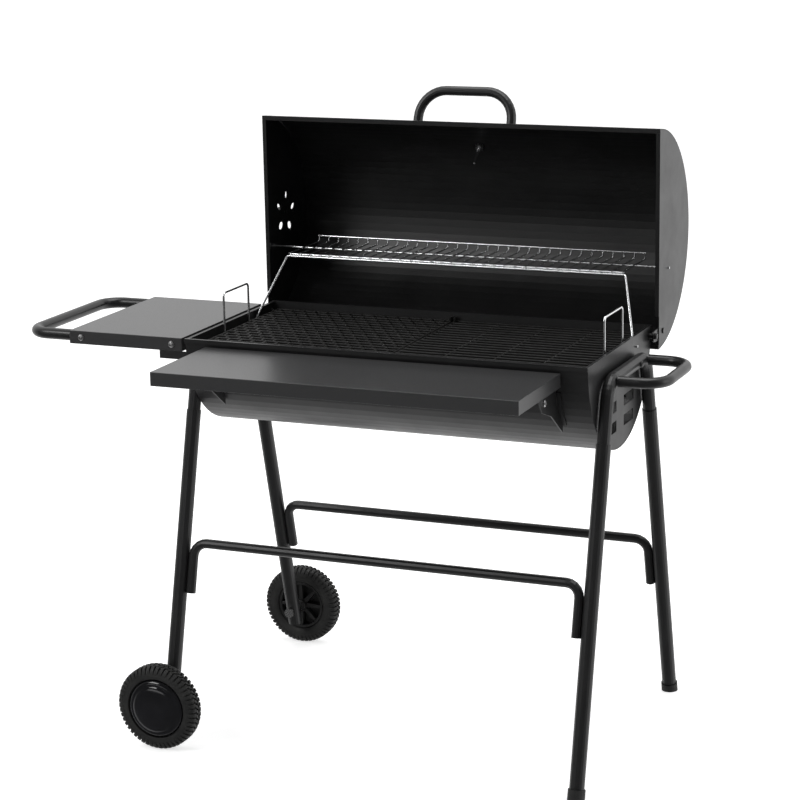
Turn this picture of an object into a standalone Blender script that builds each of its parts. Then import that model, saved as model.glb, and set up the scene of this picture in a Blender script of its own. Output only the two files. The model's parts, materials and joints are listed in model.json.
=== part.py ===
"""Barrel charcoal grill on a two-wheeled tube stand, with its lid open.

Frame: +X runs along the barrel to the end with the push handle, +Y to the rear, +Z up.
Inside this script the middle of the bowl is over X = 0, Y = 0 and the ground is Z = 0. The empty
"grill_origin" then shifts everything sideways, so that the world origin is under the middle of
the whole grill's box. Sizes are metres.
"""
import bmesh
import bpy
import math
from mathutils import Matrix, Vector

# ---- driving dimensions --------------------------------------------------------------------
GAP = 0.0003                    # space left between touching pieces
RUNNING_FIT = 0.0001            # radial room of a pin in its hole
SHEET = 0.0015                  # sheet steel thickness

BOWL_HALF_LENGTH = 0.400
BOWL_RADIUS = 0.1925            # outside of the half-round bowl
RIM_Z = 0.774                   # top of the bowl
LIP = 0.004                     # how far the bowl's rolled rim stands out
LIP_DROP = 0.007

LID_HALF_LENGTH = 0.4138
LID_RADIUS = 0.212
LID_CENTRE = (0.188, 0.9374)    # (Y, Z) of the lid's round axis while open
LID_RIM_Y = 0.1988              # plane of the open lid's mouth
LID_FLANGE = 0.008              # inward flange round the mouth
HINGE = (0.182, 0.755)          # (Y, Z) of the lid's pivot

CROSS_WIRE = 0.0015             # radius of the thin wires of the warming rack
LONG_WIRE = 0.0022              # radius of its long wires and of the bail
RACK_TOP_Z = 0.8775             # centre height of the rack's thin wires
RACK_FRONT_Y = 0.1805
RACK_BACK_Y = 0.320
RACK_FENCE_Z = 0.889
RACK_HALF_LENGTH = 0.351
RACK_PIVOT = (0.258, 0.8745)    # (Y, Z) of the long wire that hangs in the lid's ends
RACK_WIRES = 33
BAIL_ROD = (0.1745, 0.8715)     # (Y, Z) of the bail's rod under the front of the rack
BAIL_FOOT = (BAIL_ROD[0] - RACK_PIVOT[0] + HINGE[0], BAIL_ROD[1] - RACK_PIVOT[1] + HINGE[1])
BAIL_FOOT_X = 0.3942

LEG_X = 0.4132                  # plane of each leg frame
LEG_TOP_Y = 0.1165              # leg axis at LEG_TOP_Z
LEG_TOP_Z = 0.7244
LEG_GROUND_Y = 0.2996           # leg axis at the ground
UPPER_TUBE = 0.0125             # radii of the stand's tubes
LOWER_TUBE = 0.0140
TOP_BAR_Z = 0.731
LEG_JOINT_Z = 0.6228            # where the upper tube enters the lower one
SOCKET_DEPTH = 0.030
FOOT_HEIGHT = 0.018
STRETCHER_TUBE = 0.0092
STRETCHER_DROP = 0.095

WHEEL_RADIUS = 0.083
WHEEL_WIDTH = 0.037
WHEEL_Y = 0.3286
TYRE_BORE = 0.0515
HUB_CAP_RADIUS = 0.0570
AXLE_RADIUS = 0.005
WHEEL_LEG_END_Z = 0.054         # the two legs with wheels stop here

FRONT_SHELF_X = (-0.355, 0.351)
FRONT_SHELF_Y = (-0.4195, -0.1985)
FRONT_SHELF_Z = 0.7615
SIDE_SHELF_X = (-0.6615, -0.417)
SIDE_SHELF_Y = (-0.1755, 0.1755)
SIDE_SHELF_Z = 0.7695
SKIRT = 0.026                   # height of the shelves' folded edges

SIDE_HANDLE_TUBE = 0.0111
SIDE_HANDLE_X = -0.7614
SIDE_HANDLE_Y = 0.158
PUSH_HANDLE_TUBE = 0.0102
PUSH_HANDLE_X = 0.509
PUSH_HANDLE_Y = 0.095
PUSH_HANDLE_Z = 0.729
LID_HANDLE_TUBE = 0.0095
LID_HANDLE_HALF_WIDTH = 0.0975
LID_HANDLE_HEIGHT = 0.064
LID_HANDLE_Y = 0.250            # where the handle stands on the open lid

GRATE_Z = 0.757                 # middle height of the cooking grates
GRATE_BAR = 0.0050              # width of a bar
GRATE_THICK = 0.0056
GRATE_HALF_DEPTH = 0.1865
GRATE_END_X = 0.3872
GRATE_BARS = 18                 # rows of slots
LIFT_HANDLE_X = 0.3858
LIFT_HANDLE_HALF_SPAN = 0.054
LIFT_HANDLE_TOP_Z = 0.836
COAL_GRATE_Z = 0.662
COAL_BARS = 19

VENT_CENTRE = (0.2955, 0.940)   # (Y, Z) of the round vent in the lid's left end
VENT_PITCH = 0.035
VENT_HOLE = 0.0105
VENT_HOLES = 5
VENT_OPENING_TURN = math.radians(14)

STEPS = 48                      # facets on a full turn of a large round piece

# ---- the sideways shift that centres the whole box on the origin ----------------------------
BOX_LEFT = SIDE_HANDLE_X - SIDE_HANDLE_TUBE
BOX_RIGHT = PUSH_HANDLE_X + PUSH_HANDLE_TUBE
BOX_FRONT = FRONT_SHELF_Y[0]
BOX_BACK = LID_CENTRE[0] + LID_RADIUS
SHIFT = Vector((-(BOX_LEFT + BOX_RIGHT) / 2, -(BOX_FRONT + BOX_BACK) / 2, 0.0))


# ---- scene and helpers ----------------------------------------------------------------------
def clear_scene():
    for old in list(bpy.data.objects):
        bpy.data.objects.remove(old)


def new_collection(name):
    collection = bpy.data.collections.new(name)
    bpy.context.scene.collection.children.link(collection)
    return collection


def paint(name, colour, metallic, roughness):
    material = bpy.data.materials.new(name)
    material.use_nodes = True
    shader = material.node_tree.nodes["Principled BSDF"]
    shader.inputs["Base Color"].default_value = (*colour, 1.0)
    shader.inputs["Metallic"].default_value = metallic
    shader.inputs["Roughness"].default_value = roughness
    return material


def add_object(name, data, look):
    """Link a piece to the grill, or a cutting or joining shape (look None) to the cutters."""
    piece = bpy.data.objects.new(name, data)
    piece.parent = ORIGIN
    if look is None:
        CUTTERS.objects.link(piece)
        piece.hide_render = True
        piece.display_type = "WIRE"
    else:
        PARTS.objects.link(piece)
        data.materials.append(look.copy())
    return piece


def mesh_object(name, build, look):
    mesh = bpy.data.meshes.new(name)
    work = bmesh.new()
    build(work)
    work.to_mesh(mesh)
    work.free()
    return add_object(name, mesh, look)


def box(name, low, high, look=None):
    size = Vector(high) - Vector(low)
    middle = (Vector(high) + Vector(low)) / 2

    def build(work):
        bmesh.ops.create_cube(work, size=1.0)
        bmesh.ops.scale(work, vec=size, verts=work.verts)

    piece = mesh_object(name, build, look)
    piece.location = middle
    return piece


def rod(name, start, end, radius, look=None, sides=20):
    """A plain round bar between two points."""
    start, end = Vector(start), Vector(end)

    def build(work):
        bmesh.ops.create_cone(work, cap_ends=True, segments=sides, radius1=radius,
                              radius2=radius, depth=(end - start).length)

    piece = mesh_object(name, build, look)
    piece.location = (start + end) / 2
    piece.rotation_euler = (end - start).to_track_quat("Z", "Y").to_euler()
    if look is not None:
        smooth(piece)
    return piece


def turned(name, outline, place, axis, look, steps=STEPS):
    """Turn an outline of (radius, height) points round an axis through a place."""
    mesh = bpy.data.meshes.new(name)
    work = bmesh.new()
    corners = [work.verts.new((radius, 0.0, height)) for radius, height in outline]
    closed = outline[0][0] > 0
    for first, second in zip(corners, corners[1:]):
        work.edges.new((first, second))
    if closed:
        work.edges.new((corners[-1], corners[0]))
    work.to_mesh(mesh)
    work.free()
    piece = add_object(name, mesh, look)
    piece.location = place
    piece.rotation_euler = Vector(axis).to_track_quat("Z", "Y").to_euler()
    screw = piece.modifiers.new("turn", "SCREW")
    screw.axis = "Z"
    screw.steps = steps
    screw.render_steps = steps
    screw.use_merge_vertices = True
    screw.merge_threshold = 0.00001
    return piece


def rounded_path(corners, radius, steps=5):
    """The corners of a bent tube's centre line, with each inner corner rounded to an arc."""
    corners = [Vector(corner) for corner in corners]
    path = [corners[0]]
    for before, corner, after in zip(corners, corners[1:], corners[2:]):
        into = (corner - before).normalized()
        out = (after - corner).normalized()
        turn = into.angle(out)
        if turn < 0.01:
            continue
        reach = radius * math.tan(turn / 2)
        centre = corner + (out - into).normalized() * (radius / math.cos(turn / 2))
        spoke = corner - into * reach - centre
        hinge_line = into.cross(out).normalized()
        for step in range(steps + 1):
            path.append(centre + Matrix.Rotation(turn * step / steps, 3, hinge_line) @ spoke)
    path.append(corners[-1])
    return path


def tube(name, runs, radius, look, sides=12):
    """One curve object with a round bar along each run of points."""
    curve = bpy.data.curves.new(name, "CURVE")
    curve.dimensions = "3D"
    curve.bevel_depth = radius
    curve.bevel_resolution = sides // 2 - 2
    curve.use_fill_caps = True
    for run in runs:
        spline = curve.splines.new("POLY")
        spline.points.add(len(run) - 1)
        for point, place in zip(spline.points, run):
            point.co = (*place, 1.0)
    return add_object(name, curve, look)


def plate(name, outline, x_middle, thickness, look):
    """A flat plate square to X, from an outline of (Y, Z) points."""
    curve = bpy.data.curves.new(name, "CURVE")
    curve.dimensions = "2D"
    curve.fill_mode = "BOTH"
    curve.extrude = thickness / 2
    spline = curve.splines.new("POLY")
    spline.use_cyclic_u = True
    spline.points.add(len(outline) - 1)
    for point, (y, z) in zip(spline.points, outline):
        point.co = (y, z, 0.0, 1.0)
    piece = add_object(name, curve, look)
    piece.location.x = x_middle
    piece.rotation_euler = (math.pi / 2, 0.0, math.pi / 2)
    return piece


def slotted(name, x_span, y_span, slots, z_middle, thickness, look):
    """A flat level piece with rectangular slots right through it, each (low X, high X, low Y,
    high Y)."""
    curve = bpy.data.curves.new(name, "CURVE")
    curve.dimensions = "2D"
    curve.fill_mode = "BOTH"
    curve.extrude = thickness / 2
    for low_x, high_x, low_y, high_y in [(*x_span, *y_span)] + slots:
        spline = curve.splines.new("POLY")
        spline.use_cyclic_u = True
        spline.points.add(3)
        corners = ((low_x, low_y), (high_x, low_y), (high_x, high_y), (low_x, high_y))
        for point, (x, y) in zip(spline.points, corners):
            point.co = (x, y, 0.0, 1.0)
    piece = add_object(name, curve, look)
    piece.location.z = z_middle
    return piece


def as_mesh(curve_piece):
    """Swap a curve for a closed mesh of the same name and place."""
    bpy.context.view_layer.update()
    evaluated = curve_piece.evaluated_get(bpy.context.evaluated_depsgraph_get())
    mesh = bpy.data.meshes.new_from_object(evaluated)
    name = curve_piece.name
    place = curve_piece.matrix_world.copy()
    home = curve_piece.users_collection[0]
    is_cutter = curve_piece.hide_render
    bpy.data.objects.remove(curve_piece)
    work = bmesh.new()
    work.from_mesh(mesh)
    bmesh.ops.remove_doubles(work, verts=work.verts, dist=0.00001)
    bmesh.ops.recalc_face_normals(work, faces=work.faces)
    work.to_mesh(mesh)
    work.free()
    piece = bpy.data.objects.new(name, mesh)
    home.objects.link(piece)
    piece.parent = ORIGIN
    piece.matrix_world = place
    if is_cutter:
        piece.hide_render = True
        piece.display_type = "WIRE"
    return piece


def combine(piece, other, operation):
    change = piece.modifiers.new(operation.lower(), "BOOLEAN")
    change.operation = operation
    change.solver = "EXACT"
    change.object = other


def cut(piece, other):
    combine(piece, other, "DIFFERENCE")


def join(piece, other):
    combine(piece, other, "UNION")


def smooth(piece, angle=40):
    for face in piece.data.polygons:
        face.use_smooth = True
    piece.data.set_sharp_from_angle(angle=math.radians(angle))


def sheet_strip(name, profile, half_length, look):
    """Folded sheet: a (Y, Z) profile drawn along X, then thickened on both sides."""
    def build(work):
        near = [work.verts.new((-half_length, y, z)) for y, z in profile]
        edges = [work.edges.new(pair) for pair in zip(near, near[1:])]
        result = bmesh.ops.extrude_edge_only(work, edges=edges)
        far = [item for item in result["geom"] if isinstance(item, bmesh.types.BMVert)]
        bmesh.ops.translate(work, vec=(2 * half_length, 0.0, 0.0), verts=far)

    piece = mesh_object(name, build, look)
    thicken(piece, 0.0)
    smooth(piece)
    return piece


def thicken(piece, offset, thickness=SHEET):
    solidify = piece.modifiers.new("sheet", "SOLIDIFY")
    solidify.thickness = thickness
    solidify.offset = offset
    solidify.use_even_offset = True


def arc(centre, radius, start, end, steps):
    """(Y, Z) points on an arc; the angle runs from +Z towards +Y, in degrees."""
    points = []
    for step in range(steps + 1):
        angle = math.radians(start + (end - start) * step / steps)
        points.append((centre[0] + radius * math.sin(angle), centre[1] + radius * math.cos(angle)))
    return points


def leg_y(z):
    """Distance of a leg's axis from the middle plane at a height."""
    return LEG_GROUND_Y + (LEG_TOP_Y - LEG_GROUND_Y) * z / LEG_TOP_Z


# ---- bowl -----------------------------------------------------------------------------------
def build_bowl(black):
    middle_radius = BOWL_RADIUS - SHEET / 2
    top = RIM_Z - SHEET / 2
    lip_y = BOWL_RADIUS + LIP - SHEET / 2
    profile = [(lip_y, top - LIP_DROP), (lip_y, top)]
    profile += arc((0.0, top), middle_radius, 90, 270, 36)
    profile += [(-lip_y, top), (-lip_y, top - LIP_DROP)]
    shell = sheet_strip("bowl_shell", profile, BOWL_HALF_LENGTH, black)

    end_radius = BOWL_RADIUS - SHEET - GAP
    end_x = BOWL_HALF_LENGTH - 0.0005 - SHEET / 2
    for side, word in ((-1, "left"), (1, "right")):
        outline = arc((0.0, top), end_radius, 90, 270, 36)
        end = as_mesh(plate("bowl_end_" + word, outline, side * end_x, SHEET, black))
        hem_inner = end_x - 0.005
        hem_x = sorted((side * hem_inner, side * (end_x + SHEET / 2)))
        hem = box("bowl_end_hem_" + word, (hem_x[0], -end_radius + 0.0005, RIM_Z - 0.0035),
                  (hem_x[1], end_radius - 0.0005, RIM_Z - 0.0010))
        join(end, hem)
        reach = (side * (end_x - 0.02), side * (end_x + 0.02))
        cut(end, rod("hinge_hole_" + word, (reach[0], *HINGE), (reach[1], *HINGE), 0.0034))
        cut(end, rod("bail_hole_" + word, (reach[0], *BAIL_FOOT), (reach[1], *BAIL_FOOT),
                     LONG_WIRE + RUNNING_FIT))
        cut(end, rod("stand_hole_" + word, (reach[0], 0.045, TOP_BAR_Z),
                     (reach[1], 0.045, TOP_BAR_Z), 0.0034))
        if side > 0:
            for number, (low_y, high_y, low_z) in enumerate(air_slots()):
                slot = box(f"air_slot_{number}", (end_x - 0.02, low_y, low_z),
                           (end_x + 0.02, high_y, low_z + 0.021))
                cut(end, slot)

    ledge_inner = 0.1765
    grate_under = GRATE_Z - GRATE_THICK / 2
    for side, word in ((-1, "front"), (1, "rear")):
        ledge_y = sorted((side * ledge_inner, side * 0.1886))
        ledge = box("grate_ledge_" + word, (-0.385, ledge_y[0], grate_under - 0.0018),
                    (0.385, ledge_y[1], grate_under - GAP), black)
        flap = sorted((side * ledge_inner, side * (ledge_inner + 0.0015)))
        join(ledge, box("ledge_flap_" + word, (-0.385, flap[0], GRATE_Z - 0.014),
                        (0.385, flap[1], grate_under - 0.0006)))
    return shell


def air_slots():
    """(low Y, high Y, low Z) of the four air slots in the right end."""
    for side in (-1, 1):
        for inner, outer, low_z in ((0.0225, 0.084, 0.6545), (0.0225, 0.080, 0.6165)):
            low_y, high_y = sorted((side * inner, side * outer))
            yield low_y, high_y, low_z


# ---- stand ----------------------------------------------------------------------------------
def build_stand(black, rubber):
    for side, word in ((-1, "left"), (1, "right")):
        x = side * LEG_X
        low_z = LEG_JOINT_Z - SOCKET_DEPTH + 0.002
        slope_z = TOP_BAR_Z
        corners = [(x, -leg_y(low_z), low_z), (x, -leg_y(slope_z), slope_z),
                   (x, leg_y(slope_z), slope_z), (x, leg_y(low_z), low_z)]
        frame = as_mesh(tube("stand_top_" + word, [rounded_path(corners, 0.042, 7)], UPPER_TUBE,
                             black, 16))
        smooth(frame)
        inside = x - side * 0.022
        outside = x + side * (UPPER_TUBE + 0.0045)
        cut(frame, rod("bolt_way_" + word, (inside, 0.045, TOP_BAR_Z),
                       (outside, 0.045, TOP_BAR_Z), 0.0034))
        head_x = x + side * (UPPER_TUBE + 0.0003)
        length = abs(head_x - side * 0.3935)
        turned("stand_bolt_" + word,
               [(0.0, 0.0040), (0.0045, 0.0036), (0.0062, 0.0018), (0.0062, 0.0),
                (0.0030, 0.0), (0.0030, -length), (0.0, -length)],
               (head_x, 0.045, TOP_BAR_Z), (side, 0, 0), black, 16)

        for front_rear, place in ((-1, "front"), (1, "rear")):
            has_wheel = side < 0
            foot_z = WHEEL_LEG_END_Z if has_wheel else 0.0045
            top = Vector((x, front_rear * leg_y(LEG_JOINT_Z), LEG_JOINT_Z))
            bottom_z = foot_z if has_wheel else -0.02
            bottom = Vector((x, front_rear * leg_y(bottom_z), bottom_z))
            along = (bottom - top).normalized()
            leg = rod(f"leg_{place}_{word}", top, bottom, LOWER_TUBE, black, 20)
            cut(leg, rod(f"leg_socket_{place}_{word}", top - along * 0.01,
                         top + along * SOCKET_DEPTH, UPPER_TUBE + GAP, None, 20))
            if has_wheel:
                axle_y = front_rear * leg_y(WHEEL_RADIUS)
                cut(leg, rod(f"axle_way_{place}", (x, axle_y - 0.04, WHEEL_RADIUS),
                             (x, axle_y + 0.04, WHEEL_RADIUS), AXLE_RADIUS + 0.0003))
            else:
                cut(leg, box(f"leg_trim_{place}", (x - 0.05, bottom.y - 0.06, -0.06),
                             (x + 0.05, bottom.y + 0.06, foot_z)))
                build_foot(place, x, front_rear, rubber)


def build_foot(place, x, front_rear, rubber):
    """A rubber cup over the end of a leg, cut level with the ground."""
    low = Vector((x, front_rear * leg_y(-0.03), -0.03))
    high = Vector((x, front_rear * leg_y(FOOT_HEIGHT), FOOT_HEIGHT))
    far = Vector((x, front_rear * leg_y(0.08), 0.08))
    foot = rod("foot_cap_" + place, low, high, LOWER_TUBE + 0.0022, rubber, 20)
    cut(foot, box("foot_level_" + place, (x - 0.05, low.y - 0.06, -0.08),
                  (x + 0.05, low.y + 0.06, 0.0)))
    bore = rod("foot_bore_" + place, low, far, LOWER_TUBE + GAP, None, 20)
    cut(bore, box("bore_floor_" + place, (x - 0.05, low.y - 0.06, -0.08),
                  (x + 0.05, low.y + 0.06, 0.0045 - GAP)))
    cut(foot, bore)


def build_stretchers(black):
    inner_x = LEG_X - LOWER_TUBE - GAP - STRETCHER_TUBE
    for side, place, z in ((-1, "front", 0.3755), (1, "rear", 0.339)):
        low_z = z - STRETCHER_DROP
        corners = [(-inner_x, side * leg_y(low_z), low_z), (-inner_x, side * leg_y(z), z),
                   (inner_x, side * leg_y(z), z), (inner_x, side * leg_y(low_z), low_z)]
        tube("stretcher_" + place, [rounded_path(corners, 0.026)], STRETCHER_TUBE, black, 12)


# ---- wheels ---------------------------------------------------------------------------------
def build_wheels(black, glossy, steel, rubber):
    half = WHEEL_WIDTH / 2
    for side, place in ((-1, "front"), (1, "rear")):
        centre = (-LEG_X, side * WHEEL_Y, WHEEL_RADIUS)
        out = (0, side, 0)
        crown = [(WHEEL_RADIUS - 0.0045, half - 0.002), (WHEEL_RADIUS - 0.001, half * 0.55),
                 (WHEEL_RADIUS, half * 0.2)]
        shoulder = (TYRE_BORE + 0.020, half + 0.0006)
        outer_wall = [(TYRE_BORE, half - 0.006), (HUB_CAP_RADIUS + 0.0010, half - 0.006),
                      (HUB_CAP_RADIUS + 0.0025, half), shoulder]
        inner_wall = [(TYRE_BORE, half - 0.006), (TYRE_BORE + 0.007, half), shoulder]
        far_side = [(radius, -height) for radius, height in reversed(inner_wall + crown)]
        turned("tyre_" + place, outer_wall + crown + far_side, centre, out, rubber, STEPS)

        ring = TYRE_BORE - GAP
        bore = AXLE_RADIUS + 0.00008
        rim_outline = [(bore, 0.0060), (0.0130, 0.0060), (0.0150, 0.0045), (ring - 0.006, 0.0045),
                       (ring - 0.004, half - 0.005), (ring, half - 0.005), (ring, -half + 0.005),
                       (ring - 0.004, -half + 0.005), (ring - 0.006, -0.0045), (0.0150, -0.0045),
                       (0.0130, -0.0215), (bore, -0.0215)]
        rim = turned("rim_" + place, rim_outline, centre, out, black, 36)
        for number in range(6):
            turn = math.tau * number / 6
            spot = Vector(centre) + 0.0300 * Vector((math.cos(turn), 0.0, math.sin(turn)))
            window = rod(f"rim_window_{place}_{number}", spot - Vector((0, 0.03, 0)),
                         spot + Vector((0, 0.03, 0)), 0.0105, None, 10)
            cut(rim, window)

        cap_start = half - 0.005 + GAP
        turned("hub_cap_" + place,
               [(0.0, cap_start + 0.0150), (0.020, cap_start + 0.0143), (0.038, cap_start + 0.0118),
                (0.050, cap_start + 0.0075), (0.0555, cap_start + 0.0035),
                (HUB_CAP_RADIUS, cap_start), (0.0, cap_start)],
               centre, out, glossy, STEPS)
        build_axle(side, place, centre, steel)


def build_axle(side, place, centre, steel):
    """Bolt through the leg: head inside, collar outside, wheel, then the nut under the cap."""
    leg_middle = leg_y(WHEEL_RADIUS)
    start = leg_middle - LOWER_TUBE - 0.0045 - WHEEL_Y
    collar = leg_middle + LOWER_TUBE + 0.0045 - WHEEL_Y
    hub = 0.0215 + GAP
    nut_start = 0.0060 + GAP
    outline = [(0.0, 0.0128), (0.0080, 0.0128), (0.0090, 0.0118), (0.0090, nut_start),
               (AXLE_RADIUS, nut_start), (AXLE_RADIUS, -hub), (0.0105, -hub),
               (0.0105, collar), (AXLE_RADIUS, collar), (AXLE_RADIUS, start), (0.0100, start),
               (0.0100, start - 0.006), (0.0, start - 0.006)]
    turned("axle_" + place, outline, centre, (0, side, 0), steel, 24)


# ---- shelves --------------------------------------------------------------------------------
def tray(name, x_span, y_span, top_z, look):
    """A shelf folded from sheet: a flat top with a skirt down all four sides."""
    low = Vector((x_span[0], y_span[0], top_z - SKIRT))
    high = Vector((x_span[1], y_span[1], top_z))

    def build(work):
        bmesh.ops.create_cube(work, size=1.0)
        bmesh.ops.scale(work, vec=high - low, verts=work.verts)
        bmesh.ops.translate(work, vec=(low + high) / 2, verts=work.verts)
        bottom = [face for face in work.faces if face.normal.z < -0.5]
        bmesh.ops.delete(work, geom=bottom, context="FACES_ONLY")

    piece = mesh_object(name, build, look)
    thicken(piece, -1.0)
    edge = piece.modifiers.new("folded edges", "BEVEL")
    edge.width = 0.0012
    edge.segments = 2
    edge.limit_method = "ANGLE"
    return piece


def build_front_shelf(shelf_paint, black, steel):
    tray("front_shelf", FRONT_SHELF_X, FRONT_SHELF_Y, FRONT_SHELF_Z, shelf_paint)
    under_top = FRONT_SHELF_Z - SHEET - GAP
    for side, word in ((-1, "left"), (1, "right")):
        outer = FRONT_SHELF_X[0] if side < 0 else FRONT_SHELF_X[1]
        web_x = outer - side * 0.0135
        bolt_y, bolt_z = -0.2515, 0.7180
        web = [(-0.150, 0.640), (-0.213, 0.6850), (-0.262, 0.7020), (-0.285, 0.7300),
               (-0.290, under_top), (-0.150, under_top)]
        bracket = as_mesh(plate("front_bracket_" + word, web, web_x, 0.002, black))
        ear_low, ear_high = sorted((web_x - side * 0.001, web_x + side * 0.0095))
        ear = rod("bracket_ear_" + word, (ear_low, 0, RIM_Z - SHEET / 2),
                  (ear_high, 0, RIM_Z - SHEET / 2), BOWL_RADIUS + 0.0025, None, 144)
        keep = box("ear_keep_" + word, (ear_low - 0.01, -0.2, 0.655), (ear_high + 0.01, -0.1, 0.722))
        combine(ear, keep, "INTERSECT")
        join(bracket, ear)
        behind_skirt = FRONT_SHELF_Y[1] - SHEET - GAP
        skirt_way = box("skirt_way_" + word, (web_x - 0.03, behind_skirt, FRONT_SHELF_Z - SKIRT - GAP),
                        (web_x + 0.03, -0.1, FRONT_SHELF_Z + 0.01))
        cut(bracket, skirt_way)
        bowl_way = rod("bowl_way_" + word, (web_x - 0.03, 0, RIM_Z - SHEET / 2),
                       (web_x + 0.03, 0, RIM_Z - SHEET / 2), BOWL_RADIUS + GAP, None, 144)
        cut(bracket, bowl_way)
        cut(bracket, rod("bracket_hole_" + word, (web_x - 0.02, bolt_y, bolt_z),
                         (web_x + 0.02, bolt_y, bolt_z), 0.0034))
        head = 0.001 + GAP
        turned("front_shelf_bolt_" + word,
               [(0.0, head + 0.0035), (0.0050, head + 0.0030), (0.0066, head + 0.0012),
                (0.0066, head), (0.0030, head), (0.0030, -0.0065), (0.0, -0.0065)],
               (web_x, bolt_y, bolt_z), (side, 0, 0), steel, 16)


def build_side_shelf(shelf_paint, black, steel):
    shelf = tray("side_shelf", SIDE_SHELF_X, SIDE_SHELF_Y, SIDE_SHELF_Z, shelf_paint)
    handle_z = SIDE_SHELF_Z - SKIRT / 2
    end_x = SIDE_SHELF_X[0] + 0.040
    corners = [(end_x, -SIDE_HANDLE_Y, handle_z), (SIDE_HANDLE_X, -SIDE_HANDLE_Y, handle_z),
               (SIDE_HANDLE_X, SIDE_HANDLE_Y, handle_z), (end_x, SIDE_HANDLE_Y, handle_z)]
    tube("side_handle", [rounded_path(corners, 0.042, 7)], SIDE_HANDLE_TUBE, black, 16)
    for side, place in ((-1, "front"), (1, "rear")):
        way = rod("handle_way_" + place, (SIDE_SHELF_X[0] - 0.02, side * SIDE_HANDLE_Y, handle_z),
                  (SIDE_SHELF_X[0] + 0.02, side * SIDE_HANDLE_Y, handle_z),
                  SIDE_HANDLE_TUBE + GAP)
        cut(shelf, way)
        build_side_bracket(side, place, black)
        skirt_y = side * SIDE_SHELF_Y[1]
        for number, bolt_x in enumerate((-0.6358, -0.4390)):
            bolt_z = handle_z
            cut(shelf, rod(f"side_bolt_hole_{place}_{number}", (bolt_x, skirt_y - 0.004, bolt_z),
                           (bolt_x, skirt_y + 0.004, bolt_z), 0.0034, None, 12))
            inside = 0.0018 if number == 0 else 0.0042
            turned(f"side_bolt_{place}_{number}",
                   [(0.0, 0.0036), (0.0040, 0.0031), (0.0062, 0.0014), (0.0064, GAP),
                    (0.0030, GAP), (0.0030, -inside), (0.0, -inside)],
                   (bolt_x, skirt_y, bolt_z), (0, side, 0), steel, 16)


def build_side_bracket(side, place, black):
    """Angle bracket from inside the shelf's skirt, past its end, down to the leg frame."""
    outer = side * (SIDE_SHELF_Y[1] - SHEET - GAP)
    inner = side * (SIDE_SHELF_Y[1] - SHEET - GAP - 0.002)
    low_y, high_y = sorted((outer, inner))
    top = SIDE_SHELF_Z - SHEET - GAP
    right = SIDE_SHELF_X[1] - SHEET - GAP
    bracket = box("side_bracket_" + place, (-0.466, low_y, 0.7275), (right, high_y, top), black)
    lower = SIDE_SHELF_Z - SKIRT - GAP
    wall_x = -BOWL_HALF_LENGTH + 0.0005 - GAP
    join(bracket, box("bracket_arm_" + place, (-0.430, low_y, 0.7275), (wall_x, high_y, lower)))
    foot_y = sorted((side * 0.150, outer))
    join(bracket, box("bracket_foot_" + place, (wall_x - 0.002, foot_y[0], 0.7275),
                      (wall_x, foot_y[1], lower)))
    bolt_z = SIDE_SHELF_Z - SKIRT / 2
    cut(bracket, rod("bracket_bolt_hole_" + place, (-0.4390, outer - 0.01, bolt_z),
                     (-0.4390, outer + 0.01, bolt_z), 0.0034))


def build_push_handle(black):
    start_x = LEG_X + UPPER_TUBE + GAP
    corners = [(start_x, -PUSH_HANDLE_Y, PUSH_HANDLE_Z), (PUSH_HANDLE_X, -PUSH_HANDLE_Y, PUSH_HANDLE_Z),
               (PUSH_HANDLE_X, PUSH_HANDLE_Y, PUSH_HANDLE_Z), (start_x, PUSH_HANDLE_Y, PUSH_HANDLE_Z)]
    tube("push_handle", [rounded_path(corners, 0.045, 7)], PUSH_HANDLE_TUBE, black, 16)


# ---- lid ------------------------------------------------------------------------------------
def build_lid(lid_black, black, chrome, steel):
    middle_radius = LID_RADIUS - SHEET / 2
    rim_y = LID_RIM_Y + SHEET / 2
    mouth = math.degrees(math.asin((rim_y - LID_CENTRE[0]) / middle_radius))
    curve = arc(LID_CENTRE, middle_radius, mouth, 180 - mouth, 42)
    tip_z = curve[0][1] - LID_CENTRE[1] - LID_FLANGE
    profile = [(rim_y, LID_CENTRE[1] + tip_z)] + curve + [(rim_y, LID_CENTRE[1] - tip_z)]
    shell = sheet_strip("lid_shell", profile, LID_HALF_LENGTH, lid_black)
    build_lid_ends(lid_black, tip_z)
    build_thermometer(shell, chrome, steel)
    build_lid_handle(black)
    build_vent(black)


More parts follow.
